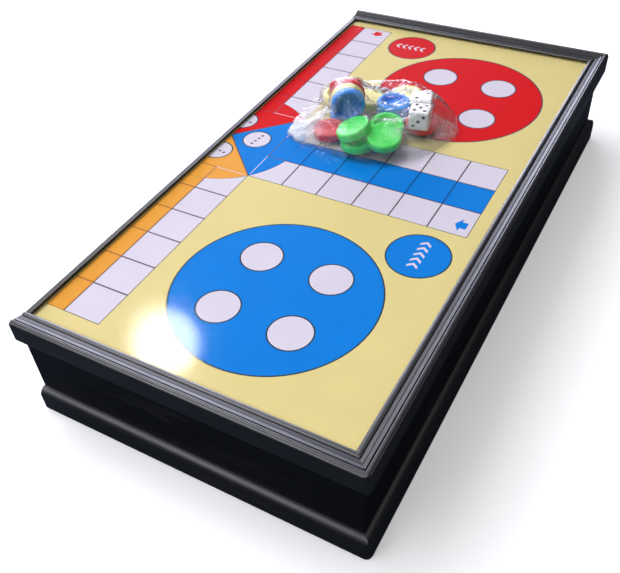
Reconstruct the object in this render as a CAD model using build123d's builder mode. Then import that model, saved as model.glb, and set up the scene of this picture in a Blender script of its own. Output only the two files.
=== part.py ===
from build123d import *
import os
from math import cos, radians, sin

# A folding ludo board box. Two shallow framed trays are hinged along one long edge, the spine. Each tray's
# outer face holds half of the game board under glass, so the box opens flat into one square board.
# Millimetres, +Z up, the box closed. The origin is the middle of the box's footprint, on the surface that
# it rests on. X runs from the spine to the opening side, Y along the spine.

# ---- driving dimensions -------------------------------------------------------------------------------
half_board = 204.6       # printed board, from its centre line to each edge
half_height = 38.0       # one tray, from the parting plane to the moulding's lip
rim_width = 13.0         # moulding, outward from the print's edge
wall_out = 7.8           # tray wall's outer face, outward from the print's edge
wall_thickness = 10.0
spine_lip = 3.0          # black edge between the print and the spine's outer face
parting_gap = 0.2        # between the two trays' walls when shut

glass_thickness = 2.0
print_thickness = 0.3
panel_thickness = 3.0
lip_rise = 3.8           # moulding's lip above the glass
rabbet_width = 5.0       # how far the sheets reach under the moulding
sheet_clearance = 0.2    # sheets to the rabbet's end
seat_gap = 0.1           # glass to the lip that holds it down

# moulding section
rim_face_height = 12.2
ovolo_height = 5.2       # roundover between the rim's face and the wall
moulding_foot = 0.4      # moulding's lower edge, where it meets the wall
sight_thickness = 0.7    # at the inner edge, over the glass
bead_width = 3.3
bead_rise = 0.9
bead_fall = 0.2          # from the bead's crown to its outer end
groove_width = 0.8
groove_depth = 0.8
step_depth = 0.25        # fine line in the middle of the band
lip_width = 3.6
lip_crown = 0.5
lip_land = 0.8           # flat on the crown, which the shut box rests on
band_fall = 0.2          # band's outer end below the lip
edge_round = 1.1
corner_radius = 5.0      # plan radius of the two outer corners

# spine trim
trim_thickness = 1.7
trim_lip = 0.9

# hinges
hinge_spacing = 260.0
hinge_length = 40.0
leaf_height = 18.0
leaf_thickness = 1.0
knuckle_radius = 2.3
pin_radius = 1.15
pin_clearance = 0.05
spine_clearance = 0.15   # spine face to the hinge axis, so two spines never rub
knuckle_clearance = 0.35
knuckle_gap = 0.3        # along the pin, between knuckles
recess_clearance = 0.05
screw_length = 8.0
screw_radius = 1.1
screw_head_radius = 2.2
screw_spacing = 24.0
screw_height = 11.0
slot_width = 0.6
slot_depth = 0.5

# magnets that hold the box shut
magnet_radius = 4.0
magnet_thickness = 3.0
magnet_spacing = 150.0
magnet_clearance = 0.05

# pins that fix the mouldings to the walls
brad_radius = 0.6
brad_length = 13.0
brad_drop = 1.7          # below the wall's top
brad_clearance = 0.05
side_brads = 4
end_brads = 2

# playing pieces, in a clear bag that lies on the upper board
counter_radius = 12.0
counter_height = 6.5
counter_round = 1.6
counter_wall = 2.8       # rim around the hollow
counter_web = 2.2
die_size = 14.0
die_round = 1.4
pip_radius = 1.2
pip_depth = 0.4
pip_pitch = 3.6
bag_gap = 0.3
bag_film = 0.3
bag_taper = 12.0
heap_gap = 0.3           # between pieces that lie on each other

# The heap that the pieces lie in. Places are from the board's middle, for counters of heap_radius, and
# spread out from heap_centre with larger ones. Each counter has its centre's place, its lowest point's height
# above the glass, and how far and which way its hollow face leans.
heap_radius = 12.0
heap_centre = (88.0, 55.0)
layer_1 = 0.75
layer_2 = layer_1 + counter_height + heap_gap
counters = {
    "green_counter_1": (105.0, 43.5, 1.25, 14, -58),
    "green_counter_2": (90.8, 20.2, layer_2 + 0.6, 160, 20),
    "green_counter_3": (111.7, 24.5, 5.15, 166, 122),
    "green_counter_4": (92.6, 22.5, layer_1, 180, 0),
    "blue_counter_2": (99.0, 68.0, layer_2, 0, 0),
    "blue_counter_3": (98.8, 68.5, layer_1, 0, 0),
    "blue_counter_4": (68.0, 53.5, layer_1, 0, 0),
    "yellow_counter_2": (76.0, 77.0, layer_1, 180, 0),
    "yellow_counter_3": (99.0, 92.9, layer_1, 180, 0),
    "yellow_counter_4": (52.0, 73.5, layer_1, 0, 0),
    "red_counter_1": (68.2, 28.0, layer_1, 180, 0),
    "red_counter_3": (62.3, 64.9, layer_2 + 0.05, 45, 122),
    "red_counter_4": (123.5, 62.5, layer_1, 180, 0),
}
# Three counters stand on edge in a roll, hollow faces forward. Each has its place along the roll, and how far
# it has slipped sideways.
roll_start = (76.0, 41.4)
roll_toward = -58
roll_pitch = counter_height + 0.2
roll = {"blue_counter_1": (0, 0.0), "yellow_counter_1": (1, 0.0), "red_counter_2": (2, 1.3)}

# Each die's place, its lowest point's height, how far it is turned, and the numbers on its top and its front.
dice = {
    "die_1": (125.5, 54.2, layer_2 + 0.05, 10, 5, 3),
    "die_2": (120.2, 70.2, layer_2 + 0.05, 14, 2, 3),
}

# The bag's outline on the glass. Its top clears the roll.
bag_height = layer_2 + 2 * counter_radius + 1.45
bag_outline = (
    (44, 16),
    (62, 6),
    (92, -3),
    (130, 4),
    (148, 32),
    (152, 64),
    (142, 94),
    (116, 112),
    (86, 118),
    (44, 108),
    (32, 84),
    (27, 50),
    (30, 30),
)

# ---- derived places -----------------------------------------------------------------------------------
knuckle_out = knuckle_radius + spine_clearance
box_width = knuckle_out + spine_lip + half_board + rim_width
centre_line = -box_width / 2 + knuckle_out + spine_lip      # the board's middle line
spine_face = centre_line - spine_lip
print_end = centre_line + half_board
outer_side = print_end + rim_width
print_front = -half_board
wall_in = wall_out - wall_thickness                         # wall's inner face, from the print's edge
outer_length = 2 * (half_board + rim_width)

glass_top = half_height - lip_rise                          # heights above the parting plane
print_top = glass_top - glass_thickness
panel_top = print_top - print_thickness
wall_top = panel_top - panel_thickness
wall_foot = parting_gap / 2
rabbet_top = glass_top + seat_gap
brad_height = wall_top - brad_drop

parting = Plane((0, 0, half_height))
hinge_axis_x = spine_face - spine_clearance
hinge_rows = (-hinge_spacing / 2, hinge_spacing / 2)
third = hinge_length / 3

os.makedirs("parts", exist_ok=True)


def save(piece, name):
    """Label a finished piece and write it as its own node."""
    piece.label = name
    export_step(piece, "parts/" + name + ".step")


def save_pair(piece, name):
    """Write an upper piece, and its mirror image in the lower tray."""
    save(piece, "upper_" + name)
    with BuildPart() as lower:
        mirror(piece, about=parting)
    save(lower.part, "lower_" + name)


# ---- section planes: local x runs outward from the print's edge, local y up from the parting plane ------
side_section = Plane((print_end, outer_length / 2, half_height), x_dir=(1, 0, 0), z_dir=(0, -1, 0))
front_section = Plane((outer_side, print_front, half_height), x_dir=(0, -1, 0), z_dir=(-1, 0, 0))
back_section = Plane((spine_face, half_board, half_height), x_dir=(0, 1, 0), z_dir=(1, 0, 0))
front_mitre = Plane((print_end, print_front, 0), x_dir=(0, 0, 1), z_dir=(1, 1, 0))
back_mitre = Plane((print_end, half_board, 0), x_dir=(0, 0, 1), z_dir=(1, -1, 0))
end_run = outer_side - spine_face


def moulding_sketch(section):
    """Draw the frame moulding: bead, stepped band, outer lip, rim, ovolo, and the rabbet over the sheets."""
    sight_top = rabbet_top + sight_thickness
    band_low = sight_top + bead_rise
    bead_end = (bead_width, band_low - bead_fall)
    groove_1 = (bead_width + groove_width / 2, band_low - groove_depth)
    lip_low = half_height - lip_crown
    lip_start = rim_width - lip_width
    lip_end = rim_width - edge_round
    land_start = (lip_start + lip_end - lip_land) / 2
    land_end = land_start + lip_land
    crown_side = half_height - lip_crown / 4
    band_start = (bead_width + groove_width, band_low)
    band_end = (lip_start - groove_width, lip_low - band_fall)
    groove_2 = (lip_start - groove_width / 2, band_end[1] - groove_depth)
    step_x = (band_start[0] + band_end[0]) / 2
    step_y = (band_start[1] + band_end[1]) / 2 - step_depth
    rim_foot = half_height - rim_face_height
    foot = (wall_out + moulding_foot, rim_foot - ovolo_height)
    ovolo_middle = (
        foot[0] + (rim_width - foot[0]) * cos(radians(45)),
        rim_foot - ovolo_height * sin(radians(45)),
    )
    with BuildSketch(section) as outline:
        with BuildLine():
            ThreePointArc((0, sight_top), (bead_width / 2, sight_top + bead_rise), bead_end)
            Polyline(bead_end, groove_1, band_start)
            Polyline(
                band_start,
                (step_x - step_depth, step_y),
                (step_x, step_y - step_depth),
                (step_x + step_depth, step_y + step_depth),
                band_end,
            )
            Polyline(band_end, groove_2, (lip_start, lip_low))
            ThreePointArc(
                (lip_start, lip_low), ((lip_start + land_start) / 2, crown_side), (land_start, half_height)
            )
            Line((land_start, half_height), (land_end, half_height))
            ThreePointArc((land_end, half_height), ((land_end + lip_end) / 2, crown_side), (lip_end, lip_low))
            RadiusArc((lip_end, lip_low), (rim_width, lip_low - edge_round), edge_round)
            Line((rim_width, lip_low - edge_round), (rim_width, rim_foot))
            ThreePointArc((rim_width, rim_foot), ovolo_middle, foot)
            Polyline(
                foot,
                (wall_out, foot[1]),
                (wall_out, wall_top),
                (rabbet_width, wall_top),
                (rabbet_width, rabbet_top),
                (0, rabbet_top),
                (0, sight_top),
            )
        make_face()
    return outline.sketch


def corner_waste(y_sign):
    """Draw what rounding takes off an outer corner in plan."""
    x1 = outer_side + 1
    y1 = y_sign * (outer_length / 2 + 1)
    x0 = outer_side - corner_radius
    y0 = y_sign * (outer_length / 2 - corner_radius)
    diagonal = corner_radius * cos(radians(45))
    with BuildSketch(Plane.XY.offset(half_height)) as waste:
        with BuildLine():
            Polyline((x0, y_sign * outer_length / 2), (x0, y1), (x1, y1), (x1, y0), (outer_side, y0))
            ThreePointArc(
                (outer_side, y0), (x0 + diagonal, y0 + y_sign * diagonal), (x0, y_sign * outer_length / 2)
            )
        make_face()
    return waste.sketch


def brad_points(count, run):
    """Evenly spaced places along a rail of this length."""
    pitch = run / count
    return [(-run / 2 + pitch * (i + 0.5), brad_height) for i in range(count)]


# Planes on the walls' inner faces, looking outward, with local y up, for the brads and their holes.
side_inner = Plane((print_end + wall_in, 0, half_height), x_dir=(0, 1, 0), z_dir=(1, 0, 0))
front_inner = Plane((0, print_front - wall_in, half_height), x_dir=(1, 0, 0), z_dir=(0, -1, 0))
back_inner = Plane((0, half_board + wall_in, half_height), x_dir=(-1, 0, 0), z_dir=(0, 1, 0))
side_points = brad_points(side_brads, 2 * half_board)
end_points = brad_points(end_brads, half_board)


# ---- mouldings ------------------------------------------------------------------------------------------
def rail(section, run, mitres, corners, inner, points):
    """Run the moulding along a rail, mitre its ends, round its corners and drill it for the brads."""
    with BuildPart() as piece:
        extrude(moulding_sketch(section), amount=run)
        for mitre, side in mitres:
            split(bisect_by=mitre, keep=side)
        for y_sign in corners:
            extrude(corner_waste(y_sign), amount=half_height, mode=Mode.SUBTRACT)
        with BuildSketch(inner):
            with Locations(*points):
                Circle(brad_radius + brad_clearance)
        extrude(amount=brad_length + brad_clearance, mode=Mode.SUBTRACT)
    return piece.part


save_pair(
    rail(front_section, end_run, [(front_mitre, Keep.BOTTOM)], [-1], front_inner, end_points),
    "front_moulding",
)
save_pair(
    rail(back_section, end_run, [(back_mitre, Keep.BOTTOM)], [1], back_inner, end_points),
    "back_moulding",
)
side_mitres = [(front_mitre, Keep.TOP), (back_mitre, Keep.TOP)]
save_pair(
    rail(side_section, outer_length, side_mitres, [-1, 1], side_inner, side_points),
    "side_moulding",
)


# ---- walls ----------------------------------------------------------------------------------------------
def wall(section, run, mitres, inner, points):
    """A straight tray wall, mitred where two meet, and drilled through for the brads."""
    height = wall_top - wall_foot
    with BuildPart() as piece:
        with BuildSketch(section):
            with Locations((wall_in + wall_thickness / 2, wall_foot + height / 2)):
                Rectangle(wall_thickness, height)
        extrude(amount=run)
        for mitre, side in mitres:
            split(bisect_by=mitre, keep=side)
        with BuildSketch(inner):
            with Locations(*points):
                Circle(brad_radius + brad_clearance)
        extrude(amount=wall_thickness, mode=Mode.SUBTRACT)
    return piece.part


save_pair(
    wall(front_section, end_run, [(front_mitre, Keep.BOTTOM)], front_inner, end_points),
    "front_wall",
)
save_pair(
    wall(back_section, end_run, [(back_mitre, Keep.BOTTOM)], back_inner, end_points),
    "back_wall",
)

magnet_x = print_end + wall_in + wall_thickness / 2
magnet_rows = [(magnet_x, -magnet_spacing / 2), (magnet_x, magnet_spacing / 2)]
parting_edge = Plane.XY.offset(half_height + wall_foot)
side_wall_blank = wall(side_section, outer_length, side_mitres, side_inner, side_points)
with BuildPart() as side_wall:
    add(side_wall_blank)
    with BuildSketch(parting_edge):
        with Locations(*magnet_rows):
            Circle(magnet_radius + magnet_clearance)
    extrude(amount=magnet_thickness + magnet_clearance, mode=Mode.SUBTRACT)
save_pair(side_wall.part, "side_wall")

# The spine wall stands between the front and back walls. Its outer face is recessed for the hinge leaves.
spine_length = 2 * (half_board + wall_in)
spine_plane = Plane((spine_face, 0, half_height), x_dir=(0, 1, 0), z_dir=(1, 0, 0))
hinge_plane = Plane((hinge_axis_x, 0, half_height), x_dir=(1, 0, 0), z_dir=(0, 1, 0))
recess_height = leaf_height + recess_clearance
with BuildPart() as spine_wall:
    with BuildSketch(Plane.XY.offset(half_height + wall_foot)):
        with Locations((spine_face + wall_thickness / 2, 0)):
            Rectangle(wall_thickness, spine_length)
    extrude(amount=wall_top - wall_foot)
    for row in hinge_rows:
        with BuildSketch(spine_plane):
            with Locations((row, recess_height / 2)):
                Rectangle(hinge_length + 2 * recess_clearance, recess_height)
        extrude(amount=leaf_thickness + recess_clearance, mode=Mode.SUBTRACT)
        with BuildSketch(hinge_plane.offset(row - hinge_length / 2 - recess_clearance)):
            Circle(knuckle_radius + knuckle_clearance)
        extrude(amount=hinge_length + 2 * recess_clearance, mode=Mode.SUBTRACT)
        with BuildSketch(spine_plane.offset(leaf_thickness + recess_clearance)):
            with Locations((row - screw_spacing / 2, screw_height), (row + screw_spacing / 2, screw_height)):
                Circle(screw_radius + recess_clearance)
        extrude(amount=screw_length, mode=Mode.SUBTRACT)
save_pair(spine_wall.part, "spine_wall")

# ---- panel, print and glass -----------------------------------------------------------------------------
sheet_start = spine_face + trim_thickness + sheet_clearance
sheet_end = print_end + rabbet_width - sheet_clearance
sheet_centre = ((sheet_start + sheet_end) / 2, 0)
sheet_size = (sheet_end - sheet_start, 2 * (half_board + rabbet_width - sheet_clearance))


def sheet(bottom, thickness):
    """A flat sheet that lies in the rabbet, this far above the parting plane."""
    with BuildPart() as piece:
        with BuildSketch(Plane.XY.offset(half_height + bottom)):
            with Locations(sheet_centre):
                Rectangle(*sheet_size)
        extrude(amount=thickness)
    return piece.part


save_pair(sheet(wall_top, panel_thickness), "board_panel")
save_pair(sheet(panel_top, print_thickness), "board_print")
save_pair(sheet(print_top, glass_thickness), "glass")

# ---- spine trim: an upright leg on the spine wall, and a lip over the glass's edge ----------------------
with BuildPart() as spine_trim:
    with BuildSketch(Plane.XY.offset(half_height + wall_top)):
        with Locations((spine_face + trim_thickness / 2, 0)):
            Rectangle(trim_thickness, 2 * (half_board + rabbet_width))
    extrude(amount=rabbet_top - wall_top)
    with BuildSketch(Plane.XY.offset(half_height + rabbet_top)):
        with Locations((spine_face + spine_lip / 2, 0)):
            Rectangle(spine_lip, 2 * half_board)
    extrude(amount=trim_lip)
save_pair(spine_trim.part, "spine_trim")

# ---- magnets and brads ----------------------------------------------------------------------------------
with BuildPart() as magnets:
    with BuildSketch(parting_edge):
        with Locations(*magnet_rows):
            Circle(magnet_radius)
    extrude(amount=magnet_thickness)
save_pair(magnets.part, "magnets")

with BuildPart() as brads:
    for inner, points in ((side_inner, side_points), (front_inner, end_points), (back_inner, end_points)):
        with BuildSketch(inner):
            with Locations(*points):
                Circle(brad_radius)
        extrude(amount=brad_length)
save_pair(brads.part, "moulding_brads")

# ---- hinges ---------------------------------------------------------------------------------------------
# The upper leaf carries the two outer knuckles and the lower leaf the middle one.
knuckle_length = third - knuckle_gap
outer_knuckles = (-third, third)
middle_knuckle = (0,)


def hinge_leaf(side, own, others):
    """A leaf let into the spine wall: side is 1 above the parting plane and -1 below it."""
    plate_foot = knuckle_radius + knuckle_clearance
    with BuildPart() as leaf:
        for row in hinge_rows:
            with BuildSketch(spine_plane):
                with Locations((row, side * leaf_height / 2)):
                    Rectangle(hinge_length, leaf_height)
                with Locations(*[(row + offset, side * plate_foot / 2) for offset in others]):
                    Rectangle(knuckle_length + 2 * knuckle_gap, plate_foot, mode=Mode.SUBTRACT)
            extrude(amount=leaf_thickness)
            for offset in own:
                with BuildSketch(hinge_plane.offset(row + offset - knuckle_length / 2)):
                    Circle(knuckle_radius)
                extrude(amount=knuckle_length)
        for row in hinge_rows:
            with BuildSketch(hinge_plane.offset(row - hinge_length / 2)):
                Circle(pin_radius + pin_clearance)
            extrude(amount=hinge_length, mode=Mode.SUBTRACT)
            for spot in (row - screw_spacing / 2, row + screw_spacing / 2):
                with BuildSketch(spine_plane):
                    with Locations((spot, side * screw_height)):
                        Circle(screw_head_radius + recess_clearance)
                with BuildSketch(spine_plane.offset(leaf_thickness)):
                    with Locations((spot, side * screw_height)):
                        Circle(screw_radius + recess_clearance)
                loft(mode=Mode.SUBTRACT)
    return leaf.part


save(hinge_leaf(1, outer_knuckles, middle_knuckle), "upper_hinge_leaves")
save(hinge_leaf(-1, middle_knuckle, outer_knuckles), "lower_hinge_leaves")

with BuildPart() as hinge_pins:
    for row in hinge_rows:
        with BuildSketch(hinge_plane.offset(row - hinge_length / 2 + knuckle_gap)):
            Circle(pin_radius)
        extrude(amount=hinge_length - 2 * knuckle_gap)
save(hinge_pins.part, "hinge_pins")

with BuildPart() as hinge_screws:
    for row in hinge_rows:
        for spot in (row - screw_spacing / 2, row + screw_spacing / 2):
            with BuildSketch(spine_plane):
                with Locations((spot, screw_height)):
                    Circle(screw_head_radius)
            with BuildSketch(spine_plane.offset(leaf_thickness)):
                with Locations((spot, screw_height)):
                    Circle(screw_radius)
            loft()
            with BuildSketch(spine_plane.offset(leaf_thickness)):
                with Locations((spot, screw_height)):
                    Circle(screw_radius)
            extrude(amount=screw_length - leaf_thickness)
            with BuildSketch(spine_plane):
                with Locations((spot, screw_height)):
                    Rectangle(3 * screw_head_radius, slot_width)
            extrude(amount=slot_depth, mode=Mode.SUBTRACT)
save_pair(hinge_screws.part, "hinge_screws")


# ---- playing pieces -------------------------------------------------------------------------------------
def on_board(x, y, height):
    """A place over the upper board, from its middle and above its glass."""
    return (centre_line + x, y, half_height + glass_top + height)


def spread(x, y):
    """A place in the heap, moved away from the heap's centre as the counters grow."""
    grow = counter_radius / heap_radius
    return (heap_centre[0] + (x - heap_centre[0]) * grow, heap_centre[1] + (y - heap_centre[1]) * grow)


def counter(place):
    """A round counter with one hollow face, on a plane through its middle that looks out of the hollow."""
    hollow_radius = counter_radius - counter_wall
    hollow_depth = counter_height - counter_web
    with BuildPart(place) as piece:
        Cylinder(counter_radius, counter_height)
        fillet(piece.edges().filter_by(GeomType.CIRCLE), counter_round)
        with Locations((0, 0, counter_height / 2)):
            Cylinder(
                hollow_radius,
                hollow_depth,
                align=(Align.CENTER, Align.CENTER, Align.MAX),
                mode=Mode.SUBTRACT,
            )
    return piece.part


for name, (x, y, foot, lean, toward) in counters.items():
    height = foot + counter_radius * sin(radians(lean)) + counter_height / 2 * abs(cos(radians(lean)))
    axis_out = (
        sin(radians(lean)) * cos(radians(toward)),
        sin(radians(lean)) * sin(radians(toward)),
        cos(radians(lean)),
    )
    save(counter(Plane(on_board(*spread(x, y), height), z_dir=axis_out)), name)

forward = Vector(cos(radians(roll_toward)), sin(radians(roll_toward)))
sideways = Vector(-forward.Y, forward.X)
for name, (step, slip) in roll.items():
    centre = Vector(spread(*roll_start)) - forward * step * roll_pitch + sideways * slip
    save(counter(Plane(on_board(centre.X, centre.Y, layer_2 + counter_radius), z_dir=forward)), name)

# Pip places on one face, as multiples of the pitch, and the faces that hold them. Opposite faces add up to 7.
corner_pips = ((1, 1), (-1, -1), (1, -1), (-1, 1))
pips = {
    1: ((0, 0),),
    2: corner_pips[:2],
    3: ((0, 0),) + corner_pips[:2],
    4: corner_pips,
    5: ((0, 0),) + corner_pips,
    6: corner_pips + ((1, 0), (-1, 0)),
}


def die(place, top, front):
    """A six-sided die on a plane through its middle, with these numbers on its top and its front."""
    right = min({1, 2, 3, 4, 5, 6} - {top, 7 - top, front, 7 - front})
    half = die_size / 2
    faces = {
        top: Plane((0, 0, half), z_dir=(0, 0, 1)),
        7 - top: Plane((0, 0, -half), z_dir=(0, 0, -1)),
        front: Plane((0, -half, 0), x_dir=(1, 0, 0), z_dir=(0, -1, 0)),
        7 - front: Plane((0, half, 0), x_dir=(1, 0, 0), z_dir=(0, 1, 0)),
        right: Plane((half, 0, 0), x_dir=(0, 1, 0), z_dir=(1, 0, 0)),
        7 - right: Plane((-half, 0, 0), x_dir=(0, 1, 0), z_dir=(-1, 0, 0)),
    }
    dimple_radius = (pip_radius**2 + pip_depth**2) / (2 * pip_depth)
    with BuildPart(place) as cube:
        Box(die_size, die_size, die_size)
        fillet(cube.edges(), die_round)
        for number, face in faces.items():
            with Locations(face.location):
                spots = [(u * pip_pitch, v * pip_pitch, dimple_radius - pip_depth) for u, v in pips[number]]
                with Locations(*spots):
                    Sphere(dimple_radius, mode=Mode.SUBTRACT)
    return cube.part


for name, (x, y, foot, turn, top, front) in dice.items():
    turned = (cos(radians(turn)), sin(radians(turn)), 0)
    middle = on_board(*spread(x, y), foot + die_size / 2)
    save(die(Plane(middle, x_dir=turned, z_dir=(0, 0, 1)), top, front), name)

# The bag is a thin closed skin around the pieces.
bag_base = Plane(on_board(0, 0, bag_gap))
bag_corners = [spread(x, y) for x, y in bag_outline]
with BuildPart() as bag:
    with BuildSketch(bag_base):
        with BuildLine():
            Polyline(*bag_corners, close=True)
        make_face()
    extrude(amount=bag_height, taper=bag_taper)
    with BuildSketch(bag_base.offset(bag_film)):
        with BuildLine():
            Polyline(*bag_corners, close=True)
        make_face()
        offset(amount=-2 * bag_film, kind=Kind.INTERSECTION)
    extrude(amount=bag_height - 2 * bag_film, taper=bag_taper, mode=Mode.SUBTRACT)
save(bag.part, "clear_bag")
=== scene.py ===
# %% [markdown]
# # A folding ludo board box
# Two shallow black trays, hinged along one long edge, carry half of a ludo board each, under glass. This
# notebook loads the box as it was engineered, and then gives it its looks: lacquer, glass, print, plastic.
# The engineered pieces are the frame of reference. They are never moved, so what is added has to fit them.

# %% Load the engineered box
from math import cos, degrees, hypot, pi, radians, sin

import bpy
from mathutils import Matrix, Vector, geometry, noise


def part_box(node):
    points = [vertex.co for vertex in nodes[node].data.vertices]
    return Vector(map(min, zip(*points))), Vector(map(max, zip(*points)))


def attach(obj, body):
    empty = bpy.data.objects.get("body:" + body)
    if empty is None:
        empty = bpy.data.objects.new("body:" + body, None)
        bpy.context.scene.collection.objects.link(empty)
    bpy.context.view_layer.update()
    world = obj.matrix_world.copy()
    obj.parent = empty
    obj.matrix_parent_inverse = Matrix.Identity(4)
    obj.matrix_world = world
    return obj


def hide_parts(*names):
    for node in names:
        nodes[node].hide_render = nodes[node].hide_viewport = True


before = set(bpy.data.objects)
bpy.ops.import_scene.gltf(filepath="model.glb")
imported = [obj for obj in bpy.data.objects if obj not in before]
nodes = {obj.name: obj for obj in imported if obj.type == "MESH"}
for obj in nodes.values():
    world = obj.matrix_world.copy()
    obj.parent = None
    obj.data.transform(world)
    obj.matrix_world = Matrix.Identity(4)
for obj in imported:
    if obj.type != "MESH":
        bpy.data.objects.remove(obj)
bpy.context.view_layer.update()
scene = bpy.context.scene
mm = 0.001

# %% [markdown]
# ## Where things are
# Every place comes from the engineered pieces. The board's middle line is where the spine trim's lip ends,
# and the playing pieces lie on the upper glass. A ludo board is a square grid, so the print is drawn in
# cells: 15 cells and a margin from edge to edge.

# %% Places that the looks are built on
board_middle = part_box("upper_spine_trim")[1].x
glass_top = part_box("upper_glass")[1].z
cell = 26 * mm
print("board middle at x", round(board_middle / mm, 1), "glass top at z", round(glass_top / mm, 1))

# %% [markdown]
# ## Camera
# The camera stands in front of the box's right-hand corner and looks down across the board from half a metre
# away. Its lens is a natural 45 mm on a 36 mm sensor. It could be aimed with a Track To constraint, but its
# exact place and turn are known, so they are simply set.

# %% Set up the camera
camera_data = bpy.data.cameras.new("camera")
camera_data.lens = 45.04
camera_data.sensor_width = 36
camera = bpy.data.objects.new("camera", camera_data)
scene.collection.objects.link(camera)
camera.location = (195.36 * mm, -389.33 * mm, 373.47 * mm)
camera.rotation_euler = (radians(46.786), radians(3.161), radians(28.964))
scene.camera = camera
scene.view_settings.view_transform = "Standard"
print("camera at", [round(v / mm) for v in camera.location])

# %% [markdown]
# ## Helpers
# A material is a tree of nodes, and most trees here need the same few steps: do a sum, mix two colours, mix
# two shaders. They could be linked by hand each time. With a helper for each step, a finish reads as a short
# recipe. Operators work on all that is selected, so there is a helper that clears the selection too.


# %% Clear the selection, or make one object the active one
def deselect():
    bpy.ops.object.select_all(action="DESELECT")


def work_on(piece):
    deselect()
    piece.select_set(True)
    bpy.context.view_layer.objects.active = piece


# %% Add nodes in one line each
def node_material(name):
    """A new material, its node tree and its Principled shader."""
    material = bpy.data.materials.new(name)
    material.use_nodes = True
    return material, material.node_tree, material.node_tree.nodes["Principled BSDF"]


def math_node(tree, operation, a, b, clamp=False):
    """A Math node whose inputs are sockets or numbers."""
    node = tree.nodes.new("ShaderNodeMath")
    node.operation = operation
    node.use_clamp = clamp
    for socket, value in zip(node.inputs, (a, b)):
        if isinstance(value, (int, float)):
            socket.default_value = value
        else:
            tree.links.new(value, socket)
    return node.outputs[0]


def colour_mix(tree, factor, first, second):
    """A Mix node from one colour to another. Each colour is a socket or three numbers."""
    node = tree.nodes.new("ShaderNodeMix")
    node.data_type = "RGBA"
    tree.links.new(factor, node.inputs[0])
    for socket, colour in ((node.inputs[6], first), (node.inputs[7], second)):
        if isinstance(colour, tuple):
            socket.default_value = (*colour, 1)
        else:
            tree.links.new(colour, socket)
    return node.outputs[2]


def shader_mix(tree, factor, first, second):
    """A Mix Shader node from one shader to another."""
    node = tree.nodes.new("ShaderNodeMixShader")
    for socket, source in zip(node.inputs, (factor, first, second)):
        tree.links.new(source, socket)
    return node.outputs[0]


def noise_node(tree, scale, detail=2.0, roughness=0.5):
    """Noise over the box's own metres. scale is a socket or a number of features per metre."""
    where = tree.nodes.new("ShaderNodeTexCoord")
    node = tree.nodes.new("ShaderNodeTexNoise")
    tree.links.new(where.outputs["Object"], node.inputs["Vector"])
    node.inputs["Detail"].default_value = detail
    node.inputs["Roughness"].default_value = roughness
    if isinstance(scale, (int, float)):
        node.inputs["Scale"].default_value = scale
    else:
        tree.links.new(scale, node.inputs["Scale"])
    return node.outputs["Fac"]


# %% [markdown]
# ## Studio
# Glossy black shows nothing but what it mirrors, so the lights are placed by mirror directions. A small round
# window panel shows in the glass as a glare, inside the paler sheen of a soft box. A low strip, far behind on
# the left, runs along the beads of the front mouldings. A fill panel in front and a sky panel overhead light
# the colours evenly, and a long panel beside the spine lights the hinges. Spot lights could do the same, but
# panels give a highlight soft edges.


# %% A helper that adds a soft light panel
def light_panel(name, place, aim, size, watts, colour=(1, 1, 1), shape="RECTANGLE"):
    """A panel at this place that faces what it aims at."""
    data = bpy.data.lights.new(name, "AREA")
    data.shape = shape
    data.size, data.size_y = size
    data.energy = watts
    data.color = colour
    panel = bpy.data.objects.new(name, data)
    scene.collection.objects.link(panel)
    panel.location = place
    panel.rotation_euler = (Vector(aim) - Vector(place)).to_track_quat("-Z", "Y").to_euler()


# %% Place the lights
light_panel("window_panel", (-0.85, 0.57, 1.21), (-0.02, -0.19, 0.07), (0.17, 0.17), 1.5, shape="ELLIPSE")
light_panel("soft_box", (-0.66, 0.05, 1.36), (0.0, -0.2, 0.07), (0.5, 0.7), 8.5, (0.96, 0.97, 1))
light_panel("low_strip", (-1.65, 2.2, 0.64), (0.0, -0.2, 0.07), (2.0, 0.95), 64, (0.81, 0.81, 1))
light_panel("fill_panel", (-0.9, -1.1, 1.5), (0.0, 0.0, 0.0), (1.8, 1.4), 21, (0.90, 0.92, 1))
light_panel("sky_panel", (0.6, 0.3, 3.2), (0.3, 0.0, 0.0), (3, 3), 22)
light_panel("spine_panel", (-2.4, 0.2, 0.55), (-0.1, 0.0, 0.04), (2.6, 0.8), 8)

# %% [markdown]
# ## Sky
# The sky fills the shadows. It could be one grey, but the box's upright walls mirror its lower part and have
# to stay black. So it is pale above and darker towards the horizon, and a mirror sees it weaker than it is as
# a light. The camera sees a pale wall instead, because a dark horizon behind a pale floor would draw the eye.

# %% Build the sky
horizon, zenith = (0.12, 0.12, 0.125, 1), (1, 1, 1, 1)
palest_from = 0.75
sky_strength, mirrored_strength = 0.24, 0.09
wall_colour = (0.86, 0.87, 0.89, 1)

world = bpy.data.worlds.new("studio")
scene.world = world
world.use_nodes = True
tree = world.node_tree
tree.nodes.clear()
direction = tree.nodes.new("ShaderNodeTexCoord")
split = tree.nodes.new("ShaderNodeSeparateXYZ")
ramp = tree.nodes.new("ShaderNodeValToRGB")
low_end, high_end = ramp.color_ramp.elements
low_end.position, low_end.color = 0, horizon
high_end.position, high_end.color = palest_from, zenith
tree.links.new(direction.outputs["Generated"], split.inputs[0])
tree.links.new(split.outputs["Z"], ramp.inputs["Fac"])
ray = tree.nodes.new("ShaderNodeLightPath")
strength = tree.nodes.new("ShaderNodeMix")
strength.inputs[2].default_value = sky_strength
strength.inputs[3].default_value = mirrored_strength
tree.links.new(ray.outputs["Is Glossy Ray"], strength.inputs[0])
sky = tree.nodes.new("ShaderNodeBackground")
tree.links.new(ramp.outputs["Color"], sky.inputs["Color"])
tree.links.new(strength.outputs[0], sky.inputs["Strength"])
wall = tree.nodes.new("ShaderNodeBackground")
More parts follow.
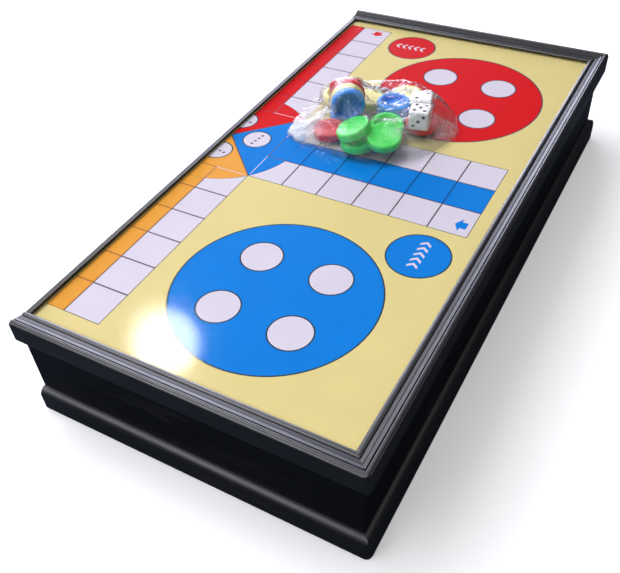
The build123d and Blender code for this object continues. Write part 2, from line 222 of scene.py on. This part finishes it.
wall.inputs["Color"].default_value = wall_colour
seen = shader_mix(tree, ray.outputs["Is Camera Ray"], sky.outputs[0], wall.outputs[0])
output = tree.nodes.new("ShaderNodeOutputWorld")
tree.links.new(seen, output.inputs["Surface"])
print("sky from", horizon[:3], "to", zenith[:3])

# %% [markdown]
# ## Floor
# A plain pale plane that is only there to catch the shadow. Mirrored in the lacquer it would be a grey haze,
# so glossy rays find a dark floor instead.

# %% Lay the floor
pale_floor, mirrored_floor = (0.92, 0.92, 0.92), (0.055, 0.065, 0.085)
floor_glow = 0.28

deselect()
bpy.ops.mesh.primitive_plane_add(size=8, location=(0, 0, -0.2 * mm))
floor = bpy.context.active_object
floor.name = "floor"
floor_paint, tree, shader = node_material("floor_paint")
ray = tree.nodes.new("ShaderNodeLightPath")
tone = colour_mix(tree, ray.outputs["Is Glossy Ray"], pale_floor, mirrored_floor)
glow = math_node(tree, "MULTIPLY", ray.outputs["Is Camera Ray"], floor_glow)
tree.links.new(tone, shader.inputs["Base Color"])
tree.links.new(glow, shader.inputs["Emission Strength"])
shader.inputs["Emission Color"].default_value = (1, 1, 1, 1)
shader.inputs["Roughness"].default_value = 0.9
shader.inputs["Specular IOR Level"].default_value = 0.1
floor.data.materials.append(floor_paint)
print("floor of", floor.dimensions.x, "m")

# %% [markdown]
# ## Shader groups
# Several finishes share the same effects: small unevenness in a gloss, and the dusty scuffs of handling. Each
# effect is a node group, made once and placed in each material with its own values. They read Object
# coordinates, which are the box's own metres, so a grain has the same size on every piece.


# %% Make an empty group, and place a group in a tree
def new_group(name, inputs, outputs):
    """A shader node group with these float inputs (name and value) and these float outputs."""
    group = bpy.data.node_groups.new(name, "ShaderNodeTree")
    for label, value in inputs.items():
        socket = group.interface.new_socket(label, in_out="INPUT", socket_type="NodeSocketFloat")
        socket.default_value = value
    for label in outputs:
        group.interface.new_socket(label, in_out="OUTPUT", socket_type="NodeSocketFloat")
    return group, group.nodes.new("NodeGroupInput"), group.nodes.new("NodeGroupOutput")


def placed_group(tree, group, **values):
    """The outputs of a group that is placed in this tree with these values."""
    node = tree.nodes.new("ShaderNodeGroup")
    node.node_tree = group
    for label, value in values.items():
        node.inputs[label].default_value = value
    return node.outputs


# %% Unevenness in a gloss: broad patches for the roughness, a fine grain for a bump
fine_grain = 900

unevenness, start, end = new_group(
    "surface_unevenness", {"Scale": 60, "Roughness": 0.2, "Spread": 0.1}, ["Roughness", "Height"]
)
broad = noise_node(unevenness, start.outputs["Scale"], 3)
swing = math_node(
    unevenness, "MULTIPLY", math_node(unevenness, "SUBTRACT", broad, 0.5), start.outputs["Spread"]
)
rough = math_node(unevenness, "ADD", swing, start.outputs["Roughness"], clamp=True)
unevenness.links.new(rough, end.inputs["Roughness"])
unevenness.links.new(noise_node(unevenness, fine_grain, 2), end.inputs["Height"])
print("group", unevenness.name)

# %% Scuffs of handling: ragged noise, drawn out sideways and cut off below a threshold
scuff_draw = (1, 1, 7)
scuff_from, scuff_full = 0.54, 0.72

scuffs, start, end = new_group("handling_scuffs", {"Scale": 14, "Amount": 0.5}, ["Mask"])
where = scuffs.nodes.new("ShaderNodeTexCoord")
drawn = scuffs.nodes.new("ShaderNodeMapping")
drawn.inputs["Scale"].default_value = scuff_draw
scuffs.links.new(where.outputs["Object"], drawn.inputs["Vector"])
rubbed = scuffs.nodes.new("ShaderNodeTexNoise")
rubbed.inputs["Detail"].default_value = 8
rubbed.inputs["Roughness"].default_value = 0.72
scuffs.links.new(drawn.outputs[0], rubbed.inputs["Vector"])
scuffs.links.new(start.outputs["Scale"], rubbed.inputs["Scale"])
rise = scuffs.nodes.new("ShaderNodeMapRange")
rise.inputs["From Min"].default_value = scuff_from
rise.inputs["From Max"].default_value = scuff_full
scuffs.links.new(rubbed.outputs["Fac"], rise.inputs["Value"])
scuffs.links.new(math_node(scuffs, "MULTIPLY", rise.outputs[0], start.outputs["Amount"]), end.inputs["Mask"])
print("group", scuffs.name)

# %% [markdown]
# ## One recipe for all opaque finishes
# Paint, print, plastic and metal differ in their values more than in their structure: a colour that varies a
# little, a gloss that isn't even, a fine bump, and scuffs where hands go. Each could have a tree of its own.
# One recipe with values is shorter, and keeps the finishes alike where they should be.

# %% The recipe, and a way to give it to an engineered piece
dust = (0.14, 0.14, 0.15)
scuff_roughness = 0.3
grain_depth = 0.1 * mm
mottle_fineness = 2.3  # the colour varies in patches this many times finer than the gloss does


def finish(
    name, colour, roughness, spread=0.1, scale=60, bump=0.1, specular=0.5, metallic=0, mottle=0.06, scuff=0
):
    """A finish with a mottled colour, an uneven gloss, a fine bump and, where it is handled, scuffs.

    spread is how much the roughness varies, and scale the patches per metre of that variation.
    """
    material, tree, shader = node_material(name)
    darker = tuple(c * (1 - mottle) for c in colour)
    paler = tuple(min(1, c * (1 + mottle)) for c in colour)
    tint = colour_mix(tree, noise_node(tree, scale * mottle_fineness, 4), darker, paler)
    uneven = placed_group(tree, unevenness, Scale=scale, Roughness=roughness, Spread=spread)
    gloss = uneven["Roughness"]
    if scuff:
        marks = placed_group(tree, scuffs, Amount=scuff)["Mask"]
        tint = colour_mix(tree, marks, tint, dust)
        gloss = math_node(tree, "ADD", gloss, math_node(tree, "MULTIPLY", marks, scuff_roughness), clamp=True)
    ripple = tree.nodes.new("ShaderNodeBump")
    ripple.inputs["Strength"].default_value = bump
    ripple.inputs["Distance"].default_value = grain_depth
    tree.links.new(uneven["Height"], ripple.inputs["Height"])
    tree.links.new(tint, shader.inputs["Base Color"])
    tree.links.new(gloss, shader.inputs["Roughness"])
    tree.links.new(ripple.outputs[0], shader.inputs["Normal"])
    shader.inputs["Specular IOR Level"].default_value = specular
    shader.inputs["Metallic"].default_value = metallic
    return material


def dress(node, material):
    """Give an engineered piece this finish."""
    mesh = nodes[node].data
    mesh.materials.clear()
    mesh.materials.append(material)


# %% [markdown]
# ## Lacquer, hardboard and metal
# The mouldings are wood under a glossy black lacquer, the walls behind them have a duller and deeper black.
# Both could be one flat black, but a real lacquer mirrors unevenly and shows where it is handled. The panels
# under the print are raw hardboard, the hinges are plated with brass, the magnets and brads are plain steel.
# The metals are a little less than fully metallic, so that they don't turn black beside the black box.

# %% Dress the frame
plated = 0.7
lacquer = finish("black_lacquer", (0.002, 0.003, 0.007), 0.42, 0.14, 40, 0.1, 1.0, scuff=0.12)
wall_lacquer = finish("wall_lacquer", (0.003, 0.004, 0.008), 0.4, 0.16, 30, 0.2, 0.15, scuff=0.16)
hardboard = finish("hardboard", (0.3, 0.2, 0.11), 0.75, 0.1, 200, 0.4, 0.3, mottle=0.2)
brass = finish("hinge_brass", (0.78, 0.57, 0.26), 0.4, 0.16, 80, 0.15, metallic=plated)
screw_brass = finish("screw_brass", (0.5, 0.33, 0.13), 0.3, 0.16, 80, 0.15, metallic=plated)
steel = finish("plain_steel", (0.5, 0.5, 0.51), 0.35, 0.15, 80, 0.1, metallic=plated)
tray_finishes = {
    lacquer: ("front_moulding", "back_moulding", "side_moulding", "spine_trim"),
    wall_lacquer: ("front_wall", "back_wall", "side_wall", "spine_wall"),
    hardboard: ("board_panel",),
    brass: ("hinge_leaves",),
    screw_brass: ("hinge_screws",),
    steel: ("magnets", "moulding_brads"),
}
for material, pieces in tray_finishes.items():
    for piece in pieces:
        dress("upper_" + piece, material)
        dress("lower_" + piece, material)
dress("hinge_pins", brass)
print("dressed", 2 * sum(len(pieces) for pieces in tray_finishes.values()) + 1, "pieces of the frame")

# %% [markdown]
# ## Glass
# Each board lies under clear sheet glass. A shader with full transmission would bend every ray twice, which
# is slow and shows nothing more in a thin sheet. Here the sheet is transparent, and mirrors by the Fresnel
# law: faintly from above and strongly at a low angle. Only its outer faces mirror, so there is one glare.


# %% Make the glass
sheet_grain, sheet_spread = 22, 0.8  # patches per metre in the sheet's roughness, and how much they differ


def clear_sheet(name, index, roughness):
    """Clear sheet: what is behind shows through, and the surface mirrors more towards grazing angles."""
    material, tree, shader = node_material(name)
    tree.nodes.remove(shader)
    through = tree.nodes.new("ShaderNodeBsdfTransparent")
    mirror = tree.nodes.new("ShaderNodeBsdfGlossy")
    spread = roughness * sheet_spread
    uneven = placed_group(tree, unevenness, Scale=sheet_grain, Roughness=roughness, Spread=spread)
    tree.links.new(uneven["Roughness"], mirror.inputs["Roughness"])
    fresnel = tree.nodes.new("ShaderNodeFresnel")
    fresnel.inputs["IOR"].default_value = index
    facing = tree.nodes.new("ShaderNodeNewGeometry")
    outside = math_node(tree, "SUBTRACT", 1, facing.outputs["Backfacing"])
    amount = math_node(tree, "MULTIPLY", fresnel.outputs[0], outside)
    surface = shader_mix(tree, amount, through.outputs[0], mirror.outputs[0])
    tree.links.new(surface, tree.nodes["Material Output"].inputs["Surface"])
    return material


glass = clear_sheet("board_glass", 1.5, 0.085)
dress("upper_glass", glass)
dress("lower_glass", glass)
print("two sheets of", glass.name)

# %% [markdown]
# ## The printed board
# Each tray carries half of a traditional ludo board. A pattern like this could be painted by a shader, but
# its edges would blur when they are baked to a picture. Here the sheet itself is divided: every printed shape
# is an outline in cells, and one Delaunay triangulation cuts the sheet along all outlines at once. A face
# then takes the ink of the last shape printed over it, as in a print shop.


# %% Inks: matt and smooth
def ink_finish(name, colour, scale=60, specular=0.2, mottle=0.06):
    return finish("print_" + name, colour, 0.6, 0.1, scale, 0.0, specular, mottle=mottle)


inks = {
    "paper": ink_finish("ground", (0.77, 0.645, 0.27), 20, mottle=0.05),
    "line": ink_finish("line", (0.11, 0.07, 0.09)),
    "edge": ink_finish("edge", (0.012, 0.035, 0.07)),
    "blue_seam": ink_finish("blue_seam", (0.002, 0.07, 0.26), specular=0.1),
    "red_seam": ink_finish("red_seam", (0.4, 0.01, 0.02), specular=0.1),
    "orange_seam": ink_finish("orange_seam", (0.45, 0.17, 0.04), specular=0.1),
    "green_seam": ink_finish("green_seam", (0.01, 0.17, 0.04), specular=0.1),
    "white": ink_finish("white", (0.71, 0.655, 0.765), 14, mottle=0.05),
    "blue": ink_finish("blue", (0.0005, 0.215, 0.71), 20, 0.05),
    "red": ink_finish("red", (0.70, 0.004, 0.008), 20, 0.05),
    "orange": ink_finish("orange", (0.83, 0.36, 0.035), 20),
    "green": ink_finish("green", (0.03, 0.42, 0.08), 20),
}
paper_back = finish("paper_back", (0.72, 0.70, 0.64), 0.8, 0.1, 60, 0.1, 0.1)
print(len(inks), "inks")

# %% Line widths and places in the pattern, in cells from the middle of the board
cell_line, disc_line = 0.02, 0.036
arm_start, arm_length = 1.5, 6
home_reach = 2.121
home_disc = (0.79, 0.08, 0.41)  # x, y and radius, as of each disc
yard_disc = (4.42, -5.0, 2.4)
start_disc = (6.74, -2.54, 0.765)
spot_step, spot_radius = 0.905, 0.52
diamond = 0.05  # half the width of a home disc's small diamonds
print("a board of", 2 * (arm_start + arm_length), "cells")


# %% Simple outlines
def disc(x, y, radius, points=72):
    turns = [2 * pi * i / points for i in range(points)]
    return [(x + radius * cos(turn), y + radius * sin(turn)) for turn in turns]


def bar(x0, y0, x1, y1):
    return [(x0, y0), (x1, y0), (x1, y1), (x0, y1)]


def outlined(shape, ink, line_width=cell_line, line="line"):
    """A shape with a thin dark outline: the line's ink first, then the ink inside it."""
    middle = (sum(p[0] for p in shape) / len(shape), sum(p[1] for p in shape) / len(shape))
    reach = max(max(abs(p[0] - middle[0]), abs(p[1] - middle[1])) for p in shape)
    inner = 1 - line_width / reach
    inside = [(middle[0] + (p[0] - middle[0]) * inner, middle[1] + (p[1] - middle[1]) * inner) for p in shape]
    return [(line, shape), (ink, inside)]


# %% The shapes that belong to the arm along +X
def rows_of_cells(ink):
    """Three rows of cells, the middle one in colour."""
    shapes = []
    for column in range(arm_length):
        for row in (-1, 0, 1):
            x, y = arm_start + column, row - 0.5
            square = bar(x, y, x + 1, y + 1)
            shapes += outlined(square, "white") if row else outlined(square, ink, cell_line, ink + "_seam")
    return shapes


def home(ink):
    """The home triangle with its rounded side, and a white disc with four small diamonds."""
    arc = [(home_reach * cos(radians(a)), home_reach * sin(radians(a))) for a in range(-45, 46, 3)]
    inside = [(0.03, 0)] + [(x * 0.992 + 0.01, y * 0.985) for x, y in arc]
    shapes = [("line", [(0, 0)] + arc), (ink, inside)]
    # Where the three rows run in: pale seams for the outer ones, dark lines round the middle one
    shapes += [("white", bar(1.49, -1.4, 1.51, -0.5)), ("white", bar(1.49, 0.5, 1.51, 1.4))]
    shapes += [("line", bar(1.49, -0.5, 1.51, 0.5))]
    shapes += [("line", bar(arm_start, y - 0.011, 2.06, y + 0.011)) for y in (-0.5, 0.5)]
    shapes += outlined(disc(*home_disc), "white", disc_line, "edge")
    for step in range(4):
        x, y = 0.76 + 0.028 * step, -0.14 + 0.145 * step
        shapes += [("line", [(x - diamond, y), (x, y - diamond), (x + diamond, y), (x, y + diamond)])]
    return shapes


def yard(ink):
    """The corner yard: a large disc with four white spots."""
    x, y, radius = yard_disc
    shapes = outlined(disc(x, y, radius), ink, disc_line, "edge")
    for dx in (-spot_step, spot_step):
        for dy in (-spot_step, spot_step):
            shapes += outlined(disc(x + dx, y + dy, spot_radius), "white", disc_line, "edge")
    return shapes


def way_in(ink):
    """The start disc with five chevrons, and the arrow in the outermost cell beside it."""
    shapes = outlined(disc(*start_disc), ink, disc_line, "edge")
    for step in range(5):
        x, y = 6.62, -2.98 + 0.2 * step
        upper_side = [(x, y), (x + 0.13, y + 0.1), (x + 0.26, y)]
        shapes += [("white", upper_side + [(x + 0.26, y + 0.08), (x + 0.13, y + 0.18), (x, y + 0.08)])]
    arrow_head = [(7.21, -0.85), (7.06, -1.1), (7.21, -1.35)]
    return shapes + [(ink, arrow_head + [(7.21, -1.22), (7.36, -1.22), (7.36, -0.98), (7.21, -0.98)])]


def arm(ink):
    """All that is printed in one arm's ink, with its lines and white parts."""
    return rows_of_cells(ink) + home(ink) + yard(ink) + way_in(ink)


# %% The four arms, and half a board
arm_inks = ("blue", "red", "green", "orange")
print_shift = 0.092  # the pattern lies this many cells behind the sheet's middle


def turned(shapes, quarter):
    """The same shapes, turned about the board's middle by quarter turns."""
    c, s = ((1, 0), (0, 1), (-1, 0), (0, -1))[quarter % 4]
    return [(ink, [(x * c - y * s, x * s + y * c) for x, y in shape]) for ink, shape in shapes]


def printed_half(quarters, upward):
    """The shapes of half a board, with the arms at these quarter turns.

    The opened board is one pattern. The lower half is its -X half, folded under the upper one: it keeps its
    places along the spine, and lies the other way round across it.
    """
    shapes = []
    for quarter in quarters:
        shapes += turned(arm(arm_inks[quarter]), quarter)
    if upward:
        return shapes
    return [(ink, [(-x, y) for x, y in reversed(shape)]) for ink, shape in shapes]


def clip_half(shape):
    """The part of an outline on the +X side of the middle line."""
    kept = []
    for a, b in zip(shape, shape[1:] + shape[:1]):
        if a[0] >= 0:
            kept.append(a)
        if (a[0] < 0) != (b[0] < 0):
            t = a[0] / (a[0] - b[0])
            kept.append((0.0, a[1] + t * (b[1] - a[1])))
    return kept


# %% Cut a sheet along the outlines, and give it its thickness
glass_gap = 0.03 * mm  # the print lies this far from the glass, so that the two faces never coincide


def print_sheet(name, node, quarters, upward):
    """The printed sheet that stands for this node. Its print faces upwards or downwards."""
    low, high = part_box(node)
    edge = bar((low.x - board_middle) / cell, low.y / cell, (high.x - board_middle) / cell, high.y / cell)
    shapes = [("paper", edge)]
    for ink, shape in printed_half(quarters, upward):
        part = clip_half(shape)
        if len(part) > 2:
            shapes.append((ink, [(x, y + print_shift) for x, y in part]))
    points, outlines = [], []
    for ink, shape in shapes:
        outlines.append(list(range(len(points), len(points) + len(shape))))
        points += [Vector(p) for p in shape]
    cut = geometry.delaunay_2d_cdt(points, [], outlines, 1, 1e-5)
    cut_points, cut_faces, printed_over = cut[0], cut[2], cut[5]
    face_z = high.z - glass_gap if upward else low.z + glass_gap
    places = [(board_middle + p.x * cell, p.y * cell, face_z) for p in cut_points]
    mesh = bpy.data.meshes.new(name)
    mesh.from_pydata(places, [], [f if upward else list(reversed(f)) for f in cut_faces])
    ink_order = list(inks)
    for ink in ink_order:
        mesh.materials.append(inks[ink])
    mesh.materials.append(paper_back)
    for polygon, sources in zip(mesh.polygons, printed_over):
        polygon.material_index = ink_order.index(shapes[max(sources)][0])
    piece = bpy.data.objects.new(name, mesh)
    scene.collection.objects.link(piece)
    work_on(piece)
    backing = piece.modifiers.new("backing", "SOLIDIFY")
    backing.thickness = high.z - low.z - glass_gap
    backing.offset = -1
    backing.material_offset = backing.material_offset_rim = len(ink_order)
    bpy.ops.object.modifier_apply(modifier="backing")
    return piece


# %% Print both halves
for tray, quarters, upward in (("upper", (3, 1, 0), True), ("lower", (1, 3, 2), False)):
    piece = print_sheet(tray + "_print_sheet", tray + "_board_print", quarters, upward)
    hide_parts(tray + "_board_print")
    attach(piece, tray)
    print(piece.name, len(piece.data.polygons), "faces")

# %% [markdown]
# ## Counters
# Sixteen moulded counters, four of each colour, each with a hollow in one face. The engineered pieces already
# have this shape, so they only need plastic: a bright colour with a faint flow mark, a soft gloss and a fine
# grain. They could be turned on a lathe with Spin, but that would only copy what is there.

# %% Mould the counters
plastic_colours = {
    "green": (0.06, 0.80, 0.11),
    "blue": (0.012, 0.27, 0.84),
    "yellow": (0.90, 0.84, 0.33),
    "red": (0.72, 0.015, 0.025),
}
for name, colour in plastic_colours.items():
    plastic = finish(name + "_plastic", colour, 0.28, 0.14, 120, 0.25)
    for i in range(1, 5):
        dress(f"{name}_counter_{i}", plastic)
print("counters in", ", ".join(plastic_colours))

# %% [markdown]
# ## Dice
# White dice with black paint in their dimples. The dimples are part of the engineered shape. A copy of each
# die is merged into one skin, and each face that lies in a dimple gets the paint. A dimple could be chosen by
# hand. Here a face is in one when it lies below its side's flat, and well inside the rounded edges.

# %% A merged copy of an engineered piece, as an object of its own
merge_distance = 0.005 * mm


def copied_piece(name, node):
    piece = bpy.data.objects.new(name, nodes[node].data.copy())
    scene.collection.objects.link(piece)
    work_on(piece)
    bpy.ops.object.mode_set(mode="EDIT")
    bpy.ops.mesh.select_all(action="SELECT")
    bpy.ops.mesh.remove_doubles(threshold=merge_distance)
    bpy.ops.object.mode_set(mode="OBJECT")
    piece.data.materials.clear()
    return piece


# %% Paint the dimples of the dice
die_white = finish("die_white", (0.86, 0.86, 0.84), 0.3, 0.1, 120, 0.15)
pip_black = finish("pip_black", (0.012, 0.012, 0.014), 0.45, 0.1, 300, 0.2)
edge_rounding = 1.5 * mm
dimple_lip = 0.02 * mm


def painted_die(name, node):
    """A copy of this die with paint in its dimples."""
    die = copied_piece(name, node)
    die.data.materials.append(die_white)
    die.data.materials.append(pip_black)
    low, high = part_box(node)
    middle = (low + high) / 2
    half = (high.z - low.z) / 2
    upright = [face for face in die.data.polygons if abs(face.normal.z) < 0.1]
    side = max(upright, key=lambda face: face.area).normal
    axes = (side, Vector((-side.y, side.x, 0)), Vector((0, 0, 1)))
    for face in die.data.polygons:
        _, second, largest = sorted(abs((face.center - middle).dot(axis)) for axis in axes)
        if second < half - edge_rounding and largest < half - dimple_lip:
            face.material_index = 1
    return die


for i in (1, 2):
    die = painted_die(f"painted_die_{i}", f"die_{i}")
    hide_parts(f"die_{i}")
    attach(die, "upper")
    painted = sum(face.material_index for face in die.data.polygons)
    print(die.name, painted, "painted faces of", len(die.data.polygons))

# %% [markdown]
# ## Clear bag
# The counters and dice lie in a bag of thin clear film, crumpled at its left end. Film is a job for cloth
# simulation, because folds that are drawn by hand look drawn. A grid is wrapped to the bag's outline on the
# glass and raised to a dome with cloth to spare. Its rim is pinned, it falls over the playing pieces, and
# where the bag is gathered it gets more film than it has room for, so it crumples. The solver likes big
# things: all is ten times its size while it runs.

# %% The form that the film falls on: a simple hull of each playing piece
heap_names = [n for n in nodes if "_counter_" in n or n.startswith("die_")]
heap_x, heap_y = 90, 56  # the heap's middle, in mm from the board's middle line and the box's middle
heap_middle = Vector((board_middle + heap_x * mm, heap_y * mm, glass_top))
enlarged = 10


def heap_form():
    """The hulls of all playing pieces in one mesh, enlarged about the heap's middle."""
    hulls = [copied_piece(n + "_hull", n) for n in heap_names]
    for hull in hulls:
        work_on(hull)
        bpy.ops.object.mode_set(mode="EDIT")
        bpy.ops.mesh.select_all(action="SELECT")
        bpy.ops.mesh.convex_hull()
        bpy.ops.mesh.dissolve_limited(angle_limit=radians(4))
        bpy.ops.mesh.quads_convert_to_tris()
        bpy.ops.object.mode_set(mode="OBJECT")
    for hull in hulls:
        hull.select_set(True)
    bpy.ops.object.join()
    form = bpy.context.active_object
    for vertex in form.data.vertices:
        vertex.co = (vertex.co - heap_middle) * enlarged
    return form


# %% The bag's outline on the glass, in mm from the board's middle line and the box's middle
bag_outline = [
    (37, 18), (50, 10), (66, 8), (90, 5), (118, 10), (137, 26), (147, 50), (150, 64),
    (142, 84), (128, 100), (112, 115), (86, 116), (54, 104), (40, 86), (38, 62), (34, 42),
]
angle_step = 2  # in degrees
edge_crinkle = 2.2  # in mm


def outline_reach(angle):
    """How far the bag's outline is from the heap's middle in this direction, in mm."""
    corners = [Vector((x - heap_x, y - heap_y)) for x, y in bag_outline]
    way = Vector((cos(angle), sin(angle)))
    for a, b in zip(corners, corners[1:] + corners[:1]):
        hit = geometry.intersect_line_line_2d(Vector((0, 0)), way * 200, a, b)
        if hit:
            return hit.length
    return 0


def crinkled_reach(step):
    """The outline's reach at this step round it, its corners eased and its edge a little crinkled."""
    near = [outline_reach(radians(angle_step * (step + k))) for k in (-2, -1, 0, 1, 2)]
    return sum(near) / 5 + edge_crinkle * noise.noise(Vector((step * 0.35, 3.1, 0.7)))


reaches = [crinkled_reach(step) for step in range(360 // angle_step)]
print("the bag reaches", round(min(reaches)), "to", round(max(reaches)), "mm from the heap's middle")

# %% Where the film is gathered: place from the heap's middle and half width in mm, and how much
gathers = [(-44, -32, 15, 1.0), (34, -21, 8, 0.45), (55, 4, 9, 0.4)]


def crumpling(x, y):
    """How much the film is gathered at this place, from 0 to 1."""
    weights = [most * min(1, 1.6 - hypot(x - px, y - py) / width) for px, py, width, most in gathers]
    return max(0, *weights)


# %% The film before it falls
rim_height, dome_height = 0.4, 36  # in mm
dome_shape = 2.6  # the larger, the flatter the dome's top and the steeper its sides


def grid_to_disc(a, b):
    """The ring, from 0 to 1, and the angle of a place on a grid from -1 to 1."""
    if abs(a) < 1e-9 and abs(b) < 1e-9:
        return 0, 0
    if abs(a) > abs(b):
        ring, angle = a, pi / 4 * (b / a)
    else:
        ring, angle = b, pi / 2 - pi / 4 * (a / b)
    return (ring, angle) if ring > 0 else (-ring, angle + pi)


def raised_film():
    """A dome of film over the heap, its rim on the bag's outline, with a pin group and a crumple group."""
    deselect()
    bpy.ops.mesh.primitive_grid_add(x_subdivisions=100, y_subdivisions=96, size=2)
    film = bpy.context.active_object
    film.name = "bag_film"
    rim = film.vertex_groups.new(name="rim")
    crumple = film.vertex_groups.new(name="crumple")
    for vertex in film.data.vertices:
        ring, angle = grid_to_disc(vertex.co.x, vertex.co.y)
        reach = ring * reaches[round(degrees(angle) / angle_step) % len(reaches)]
        height = rim_height + dome_height * (1 - ring**dome_shape)
        vertex.co = Vector((reach * cos(angle), reach * sin(angle), height)) * mm * enlarged
        if ring > 0.999:
            rim.add([vertex.index], 1, "ADD")
        crumple.add([vertex.index], crumpling(reach * cos(angle), reach * sin(angle)), "ADD")
    return film


# %% Set up the fall: the film as cloth, the heap and the glass as what it falls on
film = raised_film()
form = heap_form()
deselect()
bpy.ops.mesh.primitive_plane_add(size=4)
table = bpy.context.active_object
for still, thickness in ((form, 0.003), (table, 0.002)):
    still.modifiers.new("hit", "COLLISION")
    still.collision.thickness_outer = thickness
    still.collision.cloth_friction = 10
cloth = film.modifiers.new("cloth", "CLOTH")
cloth.settings.quality = 6
cloth.settings.mass = 0.06
cloth.settings.tension_stiffness = cloth.settings.compression_stiffness = 25
cloth.settings.shear_stiffness = 10
cloth.settings.bending_stiffness = 0.15
cloth.settings.air_damping = 2
cloth.settings.vertex_group_mass = "rim"  # these points are pinned
cloth.settings.vertex_group_shrink = "crumple"
cloth.settings.shrink_min = -0.08  # below 0 the cloth grows: a little everywhere, most where it is gathered
cloth.settings.shrink_max = -1.0
cloth.collision_settings.distance_min = 0.003
cloth.collision_settings.collision_quality = 3
cloth.collision_settings.use_self_collision = True
cloth.collision_settings.self_distance_min = 0.003
print("film of", len(film.data.polygons), "faces over", len(heap_names), "playing pieces")

# %% Let the film fall, and bring it back to its size and place
last_step = 30

for step in range(1, last_step + 1):
    scene.frame_set(step)
work_on(film)
bpy.ops.object.modifier_apply(modifier="cloth")
scene.frame_set(1)
for helper in (form, table):
    bpy.data.objects.remove(helper)
for vertex in film.data.vertices:
    vertex.co = vertex.co / enlarged + heap_middle
film_top = max(vertex.co.z for vertex in film.data.vertices)
print("film falls to", round((film_top - glass_top) / mm, 1), "mm above the glass")

# %% Keep the crumple group as an attribute, for the film's finish
crumple_group = film.vertex_groups["crumple"].index
crumpled = film.data.attributes.new("crumpled", "FLOAT", "POINT")
for vertex in film.data.vertices:
    weights = [g.weight for g in vertex.groups if g.group == crumple_group]
    crumpled.data[vertex.index].value = weights[0] if weights else 0
print("crumpled at", sum(entry.value > 0.5 for entry in crumpled.data), "of", len(crumpled.data), "points")

# %% Close the bag underneath
upper_faces = len(film.data.polygons)
bpy.ops.object.mode_set(mode="EDIT")
bpy.ops.mesh.select_all(action="DESELECT")
bpy.ops.mesh.select_mode(type="EDGE")
bpy.ops.mesh.select_non_manifold()
bpy.ops.mesh.edge_face_add()
bpy.ops.mesh.quads_convert_to_tris()
bpy.ops.object.mode_set(mode="OBJECT")
print(len(film.data.polygons) - upper_faces, "faces close the bag")

# %% [markdown]
# ## The film's finish
# Clear film shows itself by three things: glints on its creases, a sheen where it is seen edge-on, and a
# milky veil where it lies in many folds. A glass shader would give only the first two. So a transparent
# shader is mixed with a mirror for the glints and the sheen, and with a white plastic for the veil. Shadow
# rays pass almost freely, because real film hardly darkens what lies in it.

# %% Glints and sheen
fine_crease, broad_crease = 420, 120
crease_depth = 0.8 * mm
sheen, least_shine = 0.5, 0.07
film_roughness = 0.45
light_passed = 0.85

film_clear, tree, shader = node_material("bag_film")
crease_fine = noise_node(tree, fine_crease, 6, 0.65)
crease = tree.nodes.new("ShaderNodeBump")
crease.inputs["Strength"].default_value = 0.8
crease.inputs["Distance"].default_value = crease_depth
tree.links.new(crease_fine, crease.inputs["Height"])
edge_on = tree.nodes.new("ShaderNodeLayerWeight")
edge_on.inputs["Blend"].default_value = 0.5
rim_light = math_node(tree, "POWER", edge_on.outputs["Facing"], 3)
shine = math_node(tree, "ADD", math_node(tree, "MULTIPLY", rim_light, sheen), least_shine)
ray = tree.nodes.new("ShaderNodeLightPath")
lit = math_node(tree, "SUBTRACT", 1, math_node(tree, "MULTIPLY", ray.outputs["Is Shadow Ray"], light_passed))
through = tree.nodes.new("ShaderNodeBsdfTransparent")
mirror = tree.nodes.new("ShaderNodeBsdfGlossy")
tree.links.new(math_node(tree, "MULTIPLY", crease_fine, film_roughness), mirror.inputs["Roughness"])
tree.links.new(crease.outputs[0], mirror.inputs["Normal"])
glint = shader_mix(tree, math_node(tree, "MULTIPLY", shine, lit), through.outputs[0], mirror.outputs[0])
print("glints on", film_clear.name)

# %% The milky veil
veil_haze, veil_crumple = 0.3, 1.1

shader.inputs["Base Color"].default_value = (0.92, 0.93, 0.96, 1)
shader.inputs["Roughness"].default_value = 0.25
tree.links.new(crease.outputs[0], shader.inputs["Normal"])
gathered = tree.nodes.new("ShaderNodeAttribute")
gathered.attribute_name = "crumpled"
folded = math_node(tree, "MULTIPLY", crease_fine, veil_crumple)
dense = math_node(tree, "MULTIPLY", gathered.outputs["Fac"], folded)
haze = math_node(tree, "MULTIPLY", math_node(tree, "POWER", noise_node(tree, broad_crease, 3), 3), veil_haze)
veil = math_node(tree, "MULTIPLY", math_node(tree, "ADD", haze, dense, clamp=True), lit)
surface = shader_mix(tree, veil, glint, shader.outputs[0])
tree.links.new(surface, tree.nodes["Material Output"].inputs["Surface"])
print("veil on", film_clear.name)

film.data.materials.append(film_clear)
film.data.materials.append(clear_sheet("bag_base_film", 1.4, 0.1))
film.data.polygons.foreach_set("use_smooth", [True] * len(film.data.polygons))
for face in film.data.polygons[upper_faces:]:
    face.material_index = 1
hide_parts("clear_bag")
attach(film, "upper")
print("film of", round(sum(f.area for f in film.data.polygons) / mm**2), "square mm")
